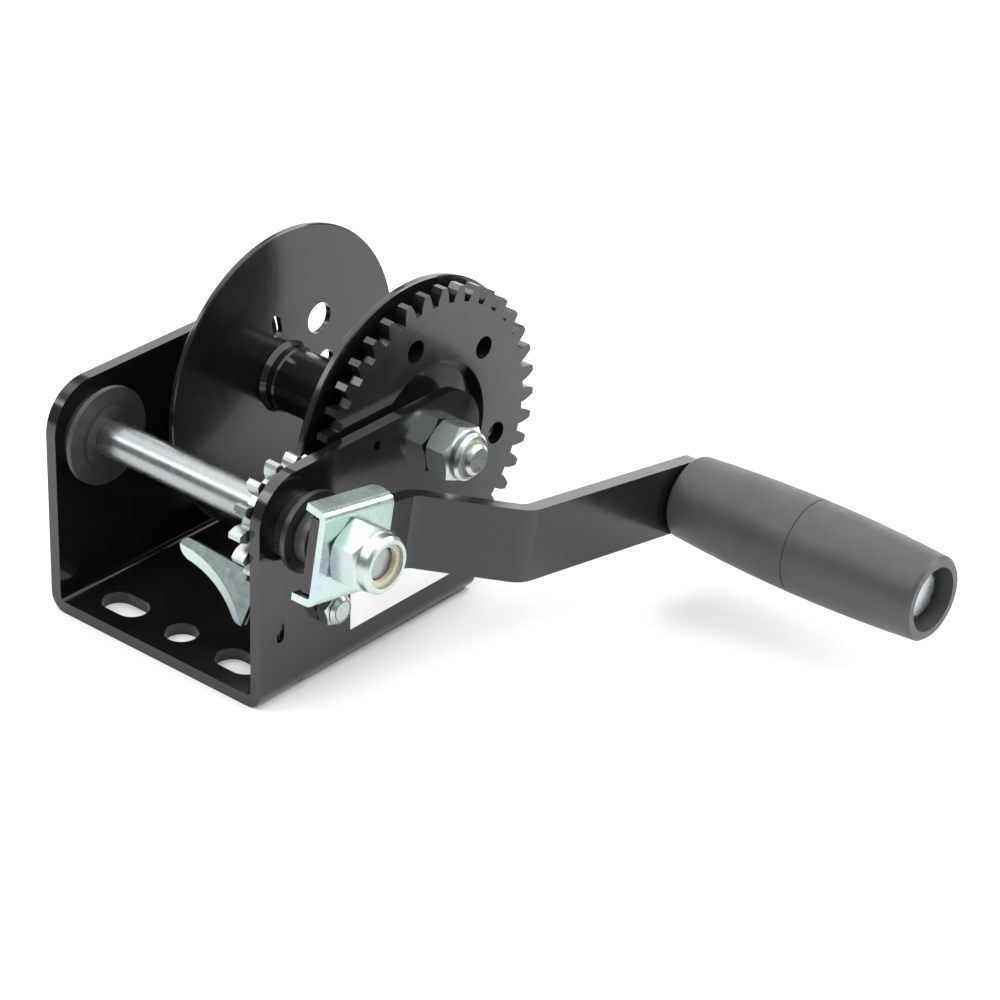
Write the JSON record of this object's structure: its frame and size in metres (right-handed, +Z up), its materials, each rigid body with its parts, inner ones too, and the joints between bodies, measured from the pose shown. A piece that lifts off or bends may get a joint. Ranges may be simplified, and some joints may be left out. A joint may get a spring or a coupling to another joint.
{
  "type": "boat trailer winch",
  "caption": "Geared hand winch for a boat trailer: channel frame, flanged drum, spur gear and pinion, ratchet pawl and a cranked handle with a turning grip.",
  "frame": {"origin": "underside of the base, at the middle hole of the front bolt row", "axes": "+X along the drum axle towards the crank, +Y from the open front towards the drum, +Z up"},
  "size_m": [0.2378, 0.1658, 0.1095],
  "materials": {
    "black_paint": "gloss",
    "label_film": "satin",
    "bush_plastic": "satin",
    "zinc": "bright",
    "spring_steel": "satin",
    "nylon": "satin",
    "grip_plastic": "satin"
  },
  "bodies": {
    "frame": {"frame": "black_paint", "label": "label_film", "far_shaft_bush": "bush_plastic", "near_shaft_bush": "bush_plastic", "axle_bolt": "zinc", "axle_washer": "zinc", "far_axle_spacer": "zinc", "near_axle_spacer": "zinc", "axle_nut": "zinc", "axle_nut_ring": "nylon", "pawl_bolt": "zinc", "pawl_spacer": "zinc", "pawl_spring": "spring_steel", "pawl_nut": "zinc", "pawl_nut_ring": "nylon"},
    "drum": {"drum_tube": "black_paint", "far_flange": "black_paint", "near_flange": "black_paint", "drum_gear": "black_paint", "drum_bushes": "bush_plastic"},
    "crank": {"drive_shaft": "zinc", "pinion": "zinc", "shaft_clip": "spring_steel", "crank_spacer": "bush_plastic", "crank_arm": "black_paint", "crank_bracket": "zinc", "crank_nut": "zinc", "crank_nut_ring": "nylon", "grip_pin": "zinc", "grip_washer": "zinc"},
    "grip": {"grip": "grip_plastic"},
    "pawl": {"pawl": "zinc"}
  },
  "joints": [
    {"name": "drum_spin", "type": "hinge", "parent": "frame", "child": "drum", "pos_m": [0, 0.06949, 0.059], "axis": [1, 0, 0], "continuous": true},
    {"name": "crank_spin", "type": "hinge", "parent": "frame", "child": "crank", "pos_m": [0, 0.0045, 0.058], "axis": [1, 0, 0], "continuous": true},
    {"name": "grip_spin", "type": "hinge", "parent": "crank", "child": "grip", "pos_m": [0.1, 0.135, 0.03229], "axis": [1, 0, 0], "continuous": true},
    {"name": "pawl_swing", "type": "hinge", "parent": "frame", "child": "pawl", "pos_m": [0.0375, 0.0175, 0.0251], "axis": [1, 0, 0], "range_deg": [0, 30], "stiffness_Nm_per_rad": 0.05, "springref_deg": -20.05}
  ],
  "couplings": [
    {"joint": "crank_spin", "follows": "drum_spin", "ratio": -2.7143}
  ]
}
